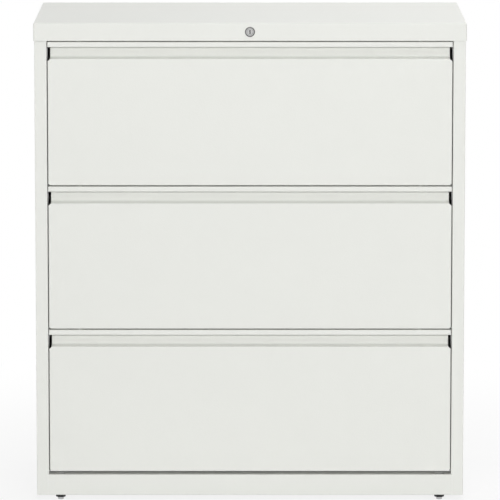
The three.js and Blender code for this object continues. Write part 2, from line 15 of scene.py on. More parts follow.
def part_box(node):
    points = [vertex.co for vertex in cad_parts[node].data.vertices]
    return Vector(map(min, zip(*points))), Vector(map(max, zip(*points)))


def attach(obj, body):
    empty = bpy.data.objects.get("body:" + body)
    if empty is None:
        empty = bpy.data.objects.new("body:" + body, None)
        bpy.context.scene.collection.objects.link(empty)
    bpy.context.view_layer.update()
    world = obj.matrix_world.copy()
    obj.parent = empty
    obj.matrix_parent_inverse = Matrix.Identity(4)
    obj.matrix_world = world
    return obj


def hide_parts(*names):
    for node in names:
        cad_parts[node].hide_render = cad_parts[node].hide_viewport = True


bl_info = {
    "name": "Lateral Filing Cabinet",
    "version": (1, 0, 0),
    "blender": (4, 5, 0),
    "location": "View3D > Sidebar > Cabinet",
    "description": "Models a lateral filing cabinet with three drawers around its CAD frame",
    "category": "Add Mesh",
}

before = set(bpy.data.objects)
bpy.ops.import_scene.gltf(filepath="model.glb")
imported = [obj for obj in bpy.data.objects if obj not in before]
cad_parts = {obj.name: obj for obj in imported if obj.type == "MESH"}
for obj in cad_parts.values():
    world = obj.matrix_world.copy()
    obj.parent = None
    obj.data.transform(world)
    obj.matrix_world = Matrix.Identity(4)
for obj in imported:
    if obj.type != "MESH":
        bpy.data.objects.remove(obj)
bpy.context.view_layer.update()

DRAWERS = ("top", "middle", "bottom")
SIDES = ("right", "left")
GLIDES = tuple(f"glide_{row}_{side}" for row in ("front", "rear") for side in SIDES)

NEAR = 1e-5  # two places closer than this are the same
PAST = 0.001  # how far a cutting shape runs past what it cuts
GAP = 0.0003  # left between pieces that lie on each other
FOLD_STEPS = 5  # facets of an ordinary fold
ROUND_STEPS = 64  # facets of a round piece
SMOOTH_BELOW = math.radians(32)  # edges flatter than this are shaded smooth
EASED_ABOVE = math.radians(50)  # edges sharper than this are rounded by the paint or plating
EASED = 0.00015  # radius of such an edge

ACROSS = {"x": ("y", "z"), "y": ("x", "z"), "z": ("x", "y")}
ALONG = {"x": Vector((1, 0, 0)), "y": Vector((0, 1, 0)), "z": Vector((0, 0, 1))}
FACING = {"x": (0, math.pi / 2, 0), "y": (math.pi / 2, 0, 0), "z": (0, 0, 0)}  # turns +Z to lie along the axis


def reach(node, axis):
    """The lowest and highest place of a CAD node along one axis."""
    low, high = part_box(node)
    return getattr(low, axis), getattr(high, axis)


def length(name, description, default):
    """A length that a user may change."""
    return FloatProperty(name=name, description=description, default=default, unit="LENGTH", precision=4)


def colour(name, description, default):
    """A colour that a user may change, in linear values."""
    return FloatVectorProperty(name=name, description=description, default=default, subtype="COLOR", size=3,
                               min=0, max=1)


class CabinetSizes(bpy.types.PropertyGroup):
    """Sizes of the folded sheets and of the stage."""

    sheet: length("Sheet", "Thickness of the case and drawer sheet", 0.001)
    fold: length("Fold", "Radius of an ordinary fold, at the sheet's middle", 0.0015)
    cap_edge: length("Cap edge", "Radius of the top cap's folded edges", 0.0035)
    fascia_return: length("Fascia return", "Depth of the fold under the top cap's front", 0.013)
    stile_return: length("Stile return", "Depth of the stiles behind the front", 0.018)
    stile_hem: length("Stile hem", "Width of the stiles' last fold", 0.010)
    rear_flange: length("Rear flange", "Width of the side panels' fold round the rear", 0.018)
    lip: length("Lip", "Height of the lip over a finger recess", 0.011)
    recess_height: length("Recess height", "Height of a finger recess below its lip", 0.025)
    recess_depth: length("Recess depth", "Depth of a finger recess", 0.017)
    recess_rise: length("Recess rise", "Rise of a recess's floor from front to back", 0.003)
    recess_fold: length("Recess fold", "Radius where a recess's floor turns up", 0.005)
    recess_notch: length("Recess notch", "How far a recess stops short of the face's ends", 0.0053)
    slide_sheet: length("Slide sheet", "Thickness of the slide members", 0.0012)
    camera_distance: length("Camera distance", "From the middle of the cabinet to the camera", 10.0)
    camera_height: length("Camera height", "Height of the camera above the floor", 1.972)
    camera_tilt: FloatProperty(name="Camera tilt", description="How far the camera looks down",
                               default=math.radians(8.34), subtype="ANGLE")
    camera_lens: FloatProperty(name="Camera lens", description="Focal length on a sensor 36 mm wide",
                               default=334.9, unit="CAMERA")


class CabinetColours(bpy.types.PropertyGroup):
    """Colours of the finishes."""

    paint: colour("Paint", "Powder coat of the case and drawers", (0.807, 0.815, 0.776))
    zinc: colour("Zinc", "Plated steel of the slides and lock works", (0.545, 0.55, 0.55))
    chrome: colour("Chrome", "Plating of the lock", (0.55, 0.55, 0.545))
    black: colour("Black", "Oxide finish of the levelling glides", (0.012, 0.012, 0.013))
    floor: colour("Floor", "Pale studio floor", (0.86, 0.86, 0.86))


# Selecting and editing


def alone(obj):
    """Makes an object the only selected one, and active."""
    bpy.ops.object.select_all(action="DESELECT")
    obj.select_set(True)
    bpy.context.view_layer.objects.active = obj


@contextmanager
def editing(obj, kind="EDGE"):
    """Edit mode on one object."""
    alone(obj)
    bpy.ops.object.mode_set(mode="EDIT")
    bpy.ops.mesh.select_mode(type=kind)
    yield
    bpy.ops.object.mode_set(mode="OBJECT")


def pick(obj, kind, test):
    """Selects, in edit mode, only the edges or faces that pass a test."""
    bpy.ops.mesh.select_all(action="DESELECT")
    mesh = bmesh.from_edit_mesh(obj.data)
    found = [part for part in getattr(mesh, kind) if test(part)]
    if not found:
        raise RuntimeError(f"{obj.name}: no {kind} where they should be")
    for part in found:
        part.select_set(True)
    bmesh.update_edit_mesh(obj.data)


def at(**place):
    """A test that each corner of an edge or face has these coordinates."""
    return lambda part: all(
        abs(getattr(corner.co, axis) - value) < NEAR for corner in part.verts for axis, value in place.items())


def face_outwards(obj):
    """Recalculates an object's normals."""
    with editing(obj, "FACE"):
        bpy.ops.mesh.select_all(action="SELECT")
        bpy.ops.mesh.normals_make_consistent(inside=False)


# Starting shapes


def fresh(name):
    """The primitive that was just added, with its place and size put into its mesh."""
    obj = bpy.context.object
    obj.name = name
    bpy.ops.object.transform_apply(location=True, rotation=True, scale=True)
    return obj


def strip(name, corner, along, across):
    """A flat rectangle from a corner and its two edges."""
    bpy.ops.object.select_all(action="DESELECT")
    turn = Matrix((along.normalized(), across.normalized(), along.cross(across).normalized())).transposed()
    bpy.ops.mesh.primitive_plane_add(size=1, location=corner + (along + across) / 2, rotation=turn.to_euler())
    bpy.context.object.scale = (along.length, across.length, 1)
    return fresh(name)


def block(name, low, high):
    """A box between two corners."""
    low, high = Vector(low), Vector(high)
    bpy.ops.object.select_all(action="DESELECT")
    bpy.ops.mesh.primitive_cube_add(size=1, location=(low + high) / 2)
    bpy.context.object.scale = high - low
    return fresh(name)


def turned(name, axis, centre, profile, facets=ROUND_STEPS):
    """A round solid, grown along an axis from a disc through steps of radius and distance from a centre."""
    way = ALONG[axis]
    (radius, place), *steps = profile
    bpy.ops.object.select_all(action="DESELECT")
    bpy.ops.mesh.primitive_circle_add(vertices=facets, radius=radius, fill_type="NGON",
                                      location=centre + way * place, rotation=FACING[axis])
    obj = fresh(name)
    with editing(obj, "FACE"):
        bpy.ops.mesh.select_all(action="SELECT")
        for next_radius, next_place in steps:
            move = way * (next_place - place)
            bpy.ops.mesh.extrude_region_move(TRANSFORM_OT_translate={"value": move})
            share = next_radius / radius
            bpy.ops.transform.resize(value=(share, share, share), center_override=centre + way * next_place)
            radius, place = next_radius, next_place
    face_outwards(obj)
    return obj


def rod(axis, centre, radius, low, high, facets=ROUND_STEPS):
    """A round bar between two places on an axis, for cutting holes."""
    return turned("rod", axis, centre, [(radius, low), (radius, high)], facets)


# Folding and finishing sheet


def spot(along, place, point):
    """The point of a section drawn across an axis, at a place along that axis."""
    first, second = ACROSS[along]
    found = {along: place, first: point[0], second: point[1]}
    return Vector((found["x"], found["y"], found["z"]))


def thicken(obj, sheet):
    """Gives a middle surface its thickness, half on each side."""
    face_outwards(obj)
    wall = obj.modifiers.new("wall", "SOLIDIFY")
    wall.thickness = sheet
    wall.offset = 0
    wall.use_even_offset = True
    bpy.ops.object.modifier_apply(modifier=wall.name)


def folded_sheet(name, along, span, line, sheet, radii):
    """A sheet folded along the middle line of its section, with a fold radius for each inner point."""
    first, second = ACROSS[along]
    start = spot(along, span[0], line[0])
    obj = strip(name, start, spot(along, span[1], line[0]) - start, spot(along, span[0], line[1]) - start)
    with editing(obj):
        for here, there in zip(line[1:], line[2:]):
            pick(obj, "edges", at(**{first: here[0], second: here[1]}))
            step = spot(along, 0, there) - spot(along, 0, here)
            bpy.ops.mesh.extrude_region_move(TRANSFORM_OT_translate={"value": step})
        for before, here, after, radius in zip(line, line[1:], line[2:], radii):
            turn = (Vector(here) - Vector(before)).angle(Vector(after) - Vector(here))
            pick(obj, "edges", at(**{first: here[0], second: here[1]}))
            bpy.ops.mesh.bevel(offset=radius * math.tan(turn / 2), segments=FOLD_STEPS, affect="EDGES",
                               clamp_overlap=False)
    thicken(obj, sheet)
    return obj


def combine(obj, others, operation):
    """Joins other solids to an object, or cuts them out of it, and removes them."""
    alone(obj)
    for other in others:
        step = obj.modifiers.new("step", "BOOLEAN")
        step.operation = operation
        step.solver = "EXACT"
        step.object = other
        bpy.ops.object.modifier_apply(modifier=step.name)
        bpy.data.objects.remove(other, do_unlink=True)


def ease(obj, radius=EASED):
    """Rounds the cut edges a little and shades the folds smooth."""
    alone(obj)
    edges = obj.modifiers.new("edges", "BEVEL")
    edges.width = radius
    edges.segments = 2
    edges.limit_method = "ANGLE"
    edges.angle_limit = EASED_ABOVE
    bpy.ops.object.modifier_apply(modifier=edges.name)
    bpy.ops.object.shade_smooth_by_angle(angle=SMOOTH_BELOW)


def twin(obj, name, shift=(0, 0, 0), mirrored=False):
    """A copy of a piece with its own mesh, moved or mirrored left to right."""
    other = obj.copy()
    other.data = obj.data.copy()
    other.name = name
    bpy.context.collection.objects.link(other)
    if mirrored:
        other.data.transform(Matrix.Scale(-1, 4, ALONG["x"]))
        other.data.flip_normals()
    other.data.transform(Matrix.Translation(shift))
    return other


def even_shading(obj):
    """Keeps flat faces flat beside the smooth folds, by weighting the normals by area."""
    alone(obj)
    weights = obj.modifiers.new("weights", "WEIGHTED_NORMAL")
    weights.keep_sharp = True
    bpy.ops.object.modifier_apply(modifier=weights.name)


def settle(obj, body, slot, finish, *nodes):
    """Gives a piece its finish and its body, and hides the CAD nodes that it stands for."""
    even_shading(obj)
    obj.data.materials.clear()
    obj.data.materials.append(finish)
    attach(obj, body)
    if nodes:
        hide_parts(*nodes)


def dress(node, finish):
    """Gives a CAD node that stays its finish, and rounds its edges a little."""
    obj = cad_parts[node]
    obj.data.materials.clear()
    obj.data.materials.append(finish)
    obj.modifiers.new("weld", "WELD").merge_threshold = NEAR
    edges = obj.modifiers.new("edges", "BEVEL")
    edges.width = EASED
    edges.segments = 2
    edges.limit_method = "ANGLE"
    edges.angle_limit = EASED_ABOVE


# Finishes


class Socket:
    """An output of a shader node. Arithmetic on it adds Math nodes."""

    def __init__(self, finish, output):
        self.finish = finish
        self.output = output

    def math(self, operation, first, second):
        return self.finish.node("ShaderNodeMath", {"operation": operation}, {0: first, 1: second})

    def __add__(self, other):
        return self.math("ADD", self, other)

    __radd__ = __add__

    def __sub__(self, other):
        return self.math("SUBTRACT", self, other)

    def __rsub__(self, other):
        return self.math("SUBTRACT", other, self)

    def __mul__(self, other):
        return self.math("MULTIPLY", self, other)

    __rmul__ = __mul__


class Finish:
    """A node tree that is filled node by node."""

    def __init__(self, tree):
        self.tree = tree
        tree.nodes.clear()

    def node(self, kind, settings=None, sockets=None, output=0):
        made = self.tree.nodes.new(kind)
        for name, value in (settings or {}).items():
            setattr(made, name, value)
        for name, value in (sockets or {}).items():
            if isinstance(value, Socket):
                self.tree.links.new(value.output, made.inputs[name])
            else:
                made.inputs[name].default_value = value
        return Socket(self, made.outputs[output] if made.outputs else None)

    def noise(self, scale, detail, stretch=(1, 1, 1)):
        """Soft noise from 0 to 1 on the piece's own coordinates, in grains per metre."""
        place = self.node("ShaderNodeTexCoord", output="Object")
        mapped = self.node("ShaderNodeMapping", sockets={"Vector": place, "Scale": stretch})
        return self.node("ShaderNodeTexNoise", sockets={"Vector": mapped, "Scale": scale, "Detail": detail})

    def blend(self, share, first, second):
        """A colour between two colours."""
        return self.node("ShaderNodeMix", {"data_type": "RGBA"}, {0: share, 6: (*first, 1), 7: (*second, 1)}, 2)

    def bump(self, height, distance, strength=1.0):
        """A normal from a height."""
        return self.node("ShaderNodeBump", sockets={"Height": height, "Distance": distance, "Strength": strength})

    def surface(self, **sockets):
        """Ends the tree in a Principled shader."""
        named = {name.replace("_", " "): value for name, value in sockets.items()}
        shader = self.node("ShaderNodeBsdfPrincipled", sockets=named)
        self.node("ShaderNodeOutputMaterial", sockets={"Surface": shader})


def material(name, fill, *colours):
    """The material of that name, made once. The frame holds materials too, under the names of its slots."""
    found = bpy.data.materials.get(name)
    if not found:
        found = bpy.data.materials.new(name)
        found.use_nodes = True
        fill(Finish(found.node_tree), *colours)
    return found


def scaled(tint, share):
    """A colour made lighter or darker."""
    return tuple(min(1.0, value * share) for value in tint)


def fill_paint(finish, tint):
    """Powder coat: a fine orange peel with a faint change of tone."""
    tone = finish.noise(9, 2)
    peel = finish.noise(420, 1) + 0.4 * finish.noise(1300, 2)
    finish.surface(
        Base_Color=finish.blend(tone, scaled(tint, 0.992), scaled(tint, 1.008)),
        Roughness=0.38 + 0.14 * finish.noise(600, 2),
        Normal=finish.bump(peel, 0.00015),
        Specular_IOR_Level=0.4,
    )


def fill_zinc(finish, tint):
    """Zinc plate over rolled strip: long streaks and a mottled sheen."""
    streaks = finish.noise(900, 3, (1, 0.02, 1))
    mottle = finish.noise(45, 4)
    finish.surface(
        Base_Color=finish.blend(0.6 * mottle + 0.4 * streaks, scaled(tint, 0.68), scaled(tint, 1.22)),
        Metallic=1.0,
        Roughness=0.22 + 0.20 * mottle + 0.12 * streaks,
        Normal=finish.bump(streaks, 0.00002),
    )


def fill_chrome(finish, tint):
    """Satin chrome, with painted shade: dark in the ring groove and the keyway, where shade falls."""
    grain = finish.noise(2600, 2)
    place = finish.node("ShaderNodeTexCoord", output="Object")
    centred = finish.node("ShaderNodeMapping", sockets={"Vector": place, "Location": -lock_centre()})
    across = finish.node("ShaderNodeVectorMath", {"operation": "MULTIPLY"}, {0: centred, 1: (1, 0, 1)})
    radius = finish.node("ShaderNodeVectorMath", {"operation": "LENGTH"}, {0: across}, "Value")
    depth = finish.node("ShaderNodeSeparateXYZ", sockets={0: centred}, output="Y")
    face = reach("lock_barrel", "y")[0]
    # Painted shade: deeper than this below the bezel's face and within the ring groove's outer radius, the plating is
    # darkened to stand in for the shade in the groove and the keyway.
    inside = depth.math("GREATER_THAN", depth, face + SHADE_PAINTED_BELOW) * depth.math("LESS_THAN", depth, face + BEZEL)
    recess = inside * radius.math("LESS_THAN", radius, RING_GROOVE[1] + EASED)
    finish.surface(
        Base_Color=finish.blend(recess, tint, scaled(tint, 0.08)),
        Metallic=1.0,
        Roughness=0.20 + 0.10 * grain + 0.2 * recess,
        Normal=finish.bump(grain, 0.000004),
    )


def fill_black(finish, tint):
    """Black oxide on steel, a little worn."""
    wear = finish.noise(240, 4)
    finish.surface(
        Base_Color=finish.blend(wear, tint, scaled(tint, 2.2)),
        Metallic=0.3,
        Roughness=0.38 + 0.2 * wear,
        Normal=finish.bump(finish.noise(1500, 2), 0.00001),
    )


def paint(colours):
    return material("powder_coat", fill_paint, tuple(colours.paint))


def zinc(colours):
    return material("zinc_plate", fill_zinc, tuple(colours.zinc))


def chrome(colours):
    return material("satin_chrome", fill_chrome, tuple(colours.chrome))


def black(colours):
    return material("black_oxide", fill_black, tuple(colours.black))


# Case


LOCK_HOLE = 0.0192
CAP_SEAM = 0.0095  # above the cap's lower edge, where the folded strip meets the plain fascia


def shape_cap(sizes):
    """The top cap: a pan with rounded edges and a fold under the middle of its front."""
    mid = sizes.sheet / 2
    low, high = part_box("top_cap")
    cap = block("cap", low + Vector((mid, mid, 0)), high - Vector((mid, mid, mid)))
    with editing(cap, "FACE"):
        pick(cap, "faces", at(z=low.z))
        bpy.ops.mesh.delete(type="FACE")
        bpy.ops.mesh.select_mode(type="EDGE")
        pick(cap, "edges", lambda edge: not edge.is_boundary)
        bpy.ops.mesh.bevel(offset=sizes.cap_edge - mid, segments=FOLD_STEPS, affect="EDGES")
    thicken(cap, sizes.sheet)
    side = reach("side_panel_right", "x")[0] - GAP
    front = low.y + mid
    seam = low.z + CAP_SEAM
    plain_edge = block("plain edge", (-side, low.y - PAST, low.z - PAST), (side, low.y + 2 * sizes.sheet, seam))
    combine(cap, [plain_edge], "DIFFERENCE")
    fold = folded_sheet(
        "fold", "x", (-side, side),
        [(front, seam), (front, low.z + mid), (low.y + sizes.fascia_return, low.z + mid)],
        sizes.sheet, [sizes.fold])
    combine(cap, [fold], "UNION")
    lock_z = sum(reach("lock_barrel", "z")) / 2
    hole = rod("y", Vector((0, 0, lock_z)), LOCK_HOLE / 2, low.y - PAST, low.y + 2 * sizes.sheet)
    combine(cap, [hole], "DIFFERENCE")
    ease(cap)
    return cap


WELD_RADIUS = 0.0032  # of the mark that a spot weld leaves
WELD_DENT = 0.0004
WELD_COUNT = 9
WELD_INSET = 0.045  # from the ends of a row of welds


def weld_marks(x, y, low, high):
    """Cutting shapes for an upright row of spot welds on a surface that faces the rear."""
    centre = Vector((x, 0, low + WELD_INSET))
    first = turned("weld", "y", centre, [(WELD_RADIUS - WELD_DENT, y - WELD_DENT), (WELD_RADIUS + PAST, y + PAST)], 24)
    step = (high - low - 2 * WELD_INSET) / (WELD_COUNT - 1)
    return [first] + [twin(first, "weld", (0, 0, row * step)) for row in range(1, WELD_COUNT)]


SEAM = 0.0005  # height of the slit under the cap's edge, where the stile's sheet is relieved


def cap_seam(sizes, low, high):
    """The cutting shape for the slit across a stile just under the cap's edge."""
    edge = reach("top_cap", "z")[0]
    return block("seam", (low.x - PAST, low.y - PAST, edge - SEAM),
                 (high.x - 2 * sizes.sheet, low.y + 1.5 * sizes.sheet, edge + GAP))


def shape_side_panel(sizes):
    """The right side, folded round the front into a stile and round the rear into a flange."""
    mid = sizes.sheet / 2
    low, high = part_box("side_panel_right")
    edge = low.x + mid
    hem = low.y + sizes.stile_return
    panel = folded_sheet(
        "panel", "z", (low.z, high.z),
        [(edge + sizes.stile_hem, hem), (edge, hem), (edge, low.y + mid), (high.x - mid, low.y + mid),
         (high.x - mid, high.y - mid), (high.x - sizes.rear_flange, high.y - mid)],
        sizes.sheet, [sizes.fold] * 4)
    rail_end = reach("base_front_rail", "x")[1] + GAP
    rail_top = reach("base_front_rail", "z")[1] + GAP
    rear = hem + PAST
    rail_notch = block("rail notch", (low.x - PAST, low.y - PAST, low.z - PAST), (rail_end, rear, rail_top))
    hem_notch = block("hem notch", (low.x, rear - 2 * sizes.sheet - PAST, low.z - PAST),
                      (edge + sizes.stile_hem + PAST, rear, rail_top))
    combine(panel, [rail_notch, hem_notch, cap_seam(sizes, low, high)], "DIFFERENCE")
    combine(panel, weld_marks(high.x - sizes.rear_flange / 2, high.y, low.z, high.z), "DIFFERENCE")
    ease(panel)
    return panel


BACK_FLANGE = 0.010


def shape_back(sizes):
    """The back panel, with a flange forward along each side."""
    mid = sizes.sheet / 2
    low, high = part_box("back_panel")
    half = high.x - mid
    flange = high.y - BACK_FLANGE
    panel = folded_sheet(
        "back", "z", (low.z, high.z),
        [(-half, flange), (-half, high.y - mid), (half, high.y - mid), (half, flange)],
        sizes.sheet, [sizes.fold] * 2)
    ease(panel)
    return panel


BASE_LIP = 0.008
ACCESS_HOLE = 0.022
STEM_HOLE = 0.0104


def shape_base_rail(sizes, row):
    """A lipped channel with its web towards the room, holed for two levelling glides."""
    mid = sizes.sheet / 2
    low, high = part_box(f"base_{row}_rail")
    web, lip = (low.y + mid, high.y - mid) if row == "front" else (high.y - mid, low.y + mid)
    rail = folded_sheet(
        "rail", "x", (low.x, high.x),
        [(lip, high.z - BASE_LIP), (lip, high.z - mid), (web, high.z - mid),
         (web, low.z + mid), (lip, low.z + mid), (lip, low.z + BASE_LIP)],
        sizes.sheet, [sizes.fold] * 4)
    for side in SIDES:
        glide_low, glide_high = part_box(f"glide_{row}_{side}")
        centre = (glide_low + glide_high) / 2
        centre.z = 0
        access = rod("z", centre, ACCESS_HOLE / 2, high.z - 2 * sizes.sheet, high.z + PAST)
        thread = rod("z", centre, STEM_HOLE / 2, low.z - PAST, low.z + 2 * sizes.sheet)
        combine(rail, [access, thread], "DIFFERENCE")
    ease(rail)
    return rail


UPRIGHT_SLOT = Vector((0.004, 0.005, 0.014))
SLOT_OFFSET = 0.012


def shape_upright(sizes, row):
    """A slotted channel on the right side, its web towards the drawers."""
    mid = sizes.sheet / 2
    low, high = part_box(f"upright_{row}_right")
    upright = folded_sheet(
        "upright", "z", (low.z, high.z),
        [(high.x, low.y + mid), (low.x + mid, low.y + mid), (low.x + mid, high.y - mid), (high.x, high.y - mid)],
        sizes.sheet, [sizes.fold] * 2)
    slots = []
    for drawer in DRAWERS:
        slide_z = sum(reach(f"{drawer}_slide_outer_right", "z")) / 2
        for offset in (-SLOT_OFFSET, SLOT_OFFSET):
            middle = Vector((low.x + mid, (low.y + high.y) / 2, slide_z + offset))
            slots.append(block("slot", middle - UPRIGHT_SLOT / 2, middle + UPRIGHT_SLOT / 2))
    combine(upright, slots, "DIFFERENCE")
    ease(upright)
    return upright


# Drawers


CORNER_RELIEF = 0.0025
LIP_HEM = 0.006
LIP_HEM_WIDTH = 0.0024
FACE_SEAM = 0.007  # below the recess, where its section takes over from the face's
FLANGE_HOLE = 0.009
FLANGE_HOLE_X = 0.361


def shape_drawer_front(sizes):
    """One sheet: the face with its returns, folded back into the finger recess and out again as a lip."""
    mid = sizes.sheet / 2
    low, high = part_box("top_drawer_front")
    face = low.y + mid
    wall = low.y + sizes.recess_depth + mid
    shelf = high.z - sizes.lip - sizes.recess_height
    lip = high.z - sizes.lip + mid
    hem = face + LIP_HEM_WIDTH
    hem_fold = 0.48 * LIP_HEM_WIDTH
    pull = folded_sheet(
        "pull", "x", (low.x, high.x),
        [(face, shelf - FACE_SEAM), (face, shelf - mid), (wall, shelf + sizes.recess_rise - mid),
         (wall, high.z - mid), (face, high.z - mid), (face, lip), (hem, lip), (hem, lip - mid + LIP_HEM)],
        sizes.sheet, [sizes.fold, sizes.recess_fold, sizes.fold, sizes.fold, hem_fold, hem_fold])
    side = high.x - mid
    pan = folded_sheet(
        "pan", "z", (low.z + CORNER_RELIEF, shelf - sizes.recess_notch - PAST),
        [(-side, high.y), (-side, face), (side, face), (side, high.y)],
        sizes.sheet, [sizes.fold] * 2)
    lower_return = folded_sheet(
        "lower return", "x", (low.x + CORNER_RELIEF, high.x - CORNER_RELIEF),
        [(high.y, low.z + mid), (face, low.z + mid), (face, low.z + 2 * CORNER_RELIEF)],
        sizes.sheet, [sizes.fold])
    combine(pull, [pan, lower_return], "UNION")
    holes = [
        rod("z", Vector((x, low.y + sizes.recess_depth / 2, 0)), FLANGE_HOLE / 2,
            high.z - 2 * sizes.sheet, high.z + PAST)
        for x in (-FLANGE_HOLE_X, FLANGE_HOLE_X)]
    combine(pull, [end_notch(sizes, end) for end in (-1, 1)] + holes, "DIFFERENCE")
    ease(pull)
    return pull


def end_notch(sizes, end):
    """The cutting shape at one end of the recess, with the corner of the face clipped at 45 degrees."""
    low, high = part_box("top_drawer_front")
    top = high.z - sizes.lip - sizes.sheet / 2
    shelf = top + sizes.sheet / 2 - sizes.recess_height
    inner = high.x - sizes.recess_notch
    outer = high.x + PAST
    foot = shelf - (outer - inner)
    notch = block("notch", (inner, low.y - PAST, foot), (outer, high.y + PAST, top))
    with editing(notch):
        pick(notch, "edges", at(x=inner, z=foot))
        bpy.ops.transform.translate(value=(0, 0, shelf - foot))
    return twin_only(notch, "notch end") if end < 0 else notch


def twin_only(obj, name):
    """A mirrored piece in place of the piece itself."""
    other = twin(obj, name, mirrored=True)
    bpy.data.objects.remove(obj, do_unlink=True)
    return other


TUB_FLANGE = 0.010


def shape_tub(sizes):
    """Bottom and sides of a drawer in one sheet, with a flange inwards along each top edge."""
    mid = sizes.sheet / 2
    low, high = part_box("top_tub")
    side = high.x - mid
    top = high.z - mid
    tub = folded_sheet(
        "tub", "y", (low.y, high.y),
        [(TUB_FLANGE - side, top), (-side, top), (-side, low.z + mid),
         (side, low.z + mid), (side, top), (side - TUB_FLANGE, top)],
        sizes.sheet, [sizes.fold] * 4)
    ease(tub)
    return tub


TUB_BACK_FOOT = 0.012
TUB_BACK_FLANGE = 0.009


def shape_tub_back(sizes):
    """The rear of a drawer, with a foot and a top flange forward."""
    mid = sizes.sheet / 2
    low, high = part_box("top_tub_back")
    face = high.y - mid
    back = folded_sheet(
        "tub back", "x", (low.x, high.x),
        [(face - TUB_BACK_FOOT, low.z + mid), (face, low.z + mid),
         (face, high.z - mid), (face - TUB_BACK_FLANGE, high.z - mid)],
        sizes.sheet, [sizes.fold] * 2)
    ease(back)
    return back


# Slides


SLIDE_FOLD = 0.001
SLIDE_LIP = 0.0024


SLIDE_SLOT = Vector((0.004, 0.016, 0.006))
SLIDE_SLOT_PLACES = (0.030, 0.120, 0.280, 0.370)  # behind the front of the member


def slide_slot(x, y, z):
    """The cutting shape of an oval slot through a slide's web."""
    middle = Vector((x, y, z))
    slot = block("slide slot", middle - SLIDE_SLOT / 2, middle + SLIDE_SLOT / 2)
    with editing(slot):
        pick(slot, "edges", lambda edge: abs((edge.verts[0].co - edge.verts[1].co).x) > NEAR)
        bpy.ops.mesh.bevel(offset=0.49 * SLIDE_SLOT.z, segments=6, affect="EDGES")
    return slot


def shape_slide_member(sizes, member):
    """A channel of a telescopic slide on the right side, with lipped flanges."""
    mid = sizes.slide_sheet / 2
    low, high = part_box(f"top_slide_{member}_right")
    web, mouth = (low.x + mid, high.x - mid) if member == "inner" else (high.x - mid, low.x + mid)
    foot, head = low.z + mid, high.z - mid
    channel = folded_sheet(
        "slide", "y", (low.y, high.y),
        [(mouth, foot + SLIDE_LIP), (mouth, foot), (web, foot),
         (web, head), (mouth, head), (mouth, head - SLIDE_LIP)],
        sizes.slide_sheet, [SLIDE_FOLD] * 4)
    if member == "mid":
        slots = [slide_slot(web, low.y + place, (foot + head) / 2) for place in SLIDE_SLOT_PLACES]
        combine(channel, slots, "DIFFERENCE")
    ease(channel)
    return channel


CAGE_SHEET = 0.0005
CAGE_CLEAR = 0.0006
CAGE_START = 0.008  # behind the front of the closed slide
CAGE_LENGTH = 0.190
BALL = 0.0031
BALL_PITCH = 0.0136
BALL_COUNT = 13


def cage_section(sizes, wide, narrow):
    """Mouth, back, lower row and upper row of the ball cage between two members, in metres."""
    wide_low, wide_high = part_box(f"top_slide_{wide}_right")
    narrow_low, narrow_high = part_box(f"top_slide_{narrow}_right")
    mouth = wide_low.x + sizes.slide_sheet + CAGE_CLEAR
    back = (wide_high.x - sizes.slide_sheet + narrow_high.x) / 2
    foot = (wide_low.z + sizes.slide_sheet + narrow_low.z) / 2
    head = (wide_high.z - sizes.slide_sheet + narrow_high.z) / 2
    return mouth, back, foot, head


def shape_cage(sizes, wide, narrow):
    """The bent strip that keeps the balls apart between two members of a slide on the right side."""
    mouth, back, foot, head = cage_section(sizes, wide, narrow)
    start = reach("top_slide_outer_right", "y")[0] + CAGE_START
    cage = folded_sheet(
        "cage", "y", (start, start + CAGE_LENGTH), [(mouth, foot), (back, foot), (back, head), (mouth, head)],
        CAGE_SHEET, [SLIDE_FOLD] * 2)
    ease(cage, EASED / 2)
    return cage


def shape_balls(sizes, wide, narrow):
    """Two rows of bearing balls in such a cage."""
    mouth, back, foot, head = cage_section(sizes, wide, narrow)
    start = reach("top_slide_outer_right", "y")[0] + CAGE_START + BALL_PITCH
    bpy.ops.object.select_all(action="DESELECT")
    bpy.ops.mesh.primitive_uv_sphere_add(
        segments=10, ring_count=6, radius=BALL / 2, location=(mouth + 0.6 * BALL, start, foot))
    balls = fresh("balls")
    repeat(balls, BALL_COUNT, (0, BALL_PITCH, 0))
    repeat(balls, 2, (0, 0, head - foot))
    bpy.ops.object.shade_smooth()
    return balls


def repeat(obj, count, step):
    """Repeats an object's mesh along a straight row."""
    alone(obj)
    row = obj.modifiers.new("row", "ARRAY")
    row.count = count
    row.use_relative_offset = False
    row.use_constant_offset = True
    row.constant_offset_displace = step
    bpy.ops.object.modifier_apply(modifier=row.name)


RIVET = 0.0078
RIVET_RISE = 0.0013
RIVET_STARTS = 0.030  # from the front of the drawer side to the first rivet
RIVET_PITCH = 0.165


def shape_rivets(sizes):
    """Three domed heads inside the right side of a drawer, which hold the inner slide member."""
    low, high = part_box("top_tub")
    wall = high.x - sizes.sheet
    slide_z = sum(reach("top_slide_inner_right", "z")) / 2
    centre = Vector((0, low.y + RIVET_STARTS, slide_z))
    dome = [
        (RIVET / 2 * math.cos(turn), wall - RIVET_RISE * (0.25 + 0.75 * math.sin(turn)))
        for turn in (math.pi / 10 * step for step in range(5))]
    rivets = turned("rivets", "x", centre, [(RIVET / 2, wall), *dome], 24)
    repeat(rivets, 3, (0, RIVET_PITCH, 0))
    bpy.ops.object.shade_smooth_by_angle(angle=SMOOTH_BELOW)
    return rivets


# Lock


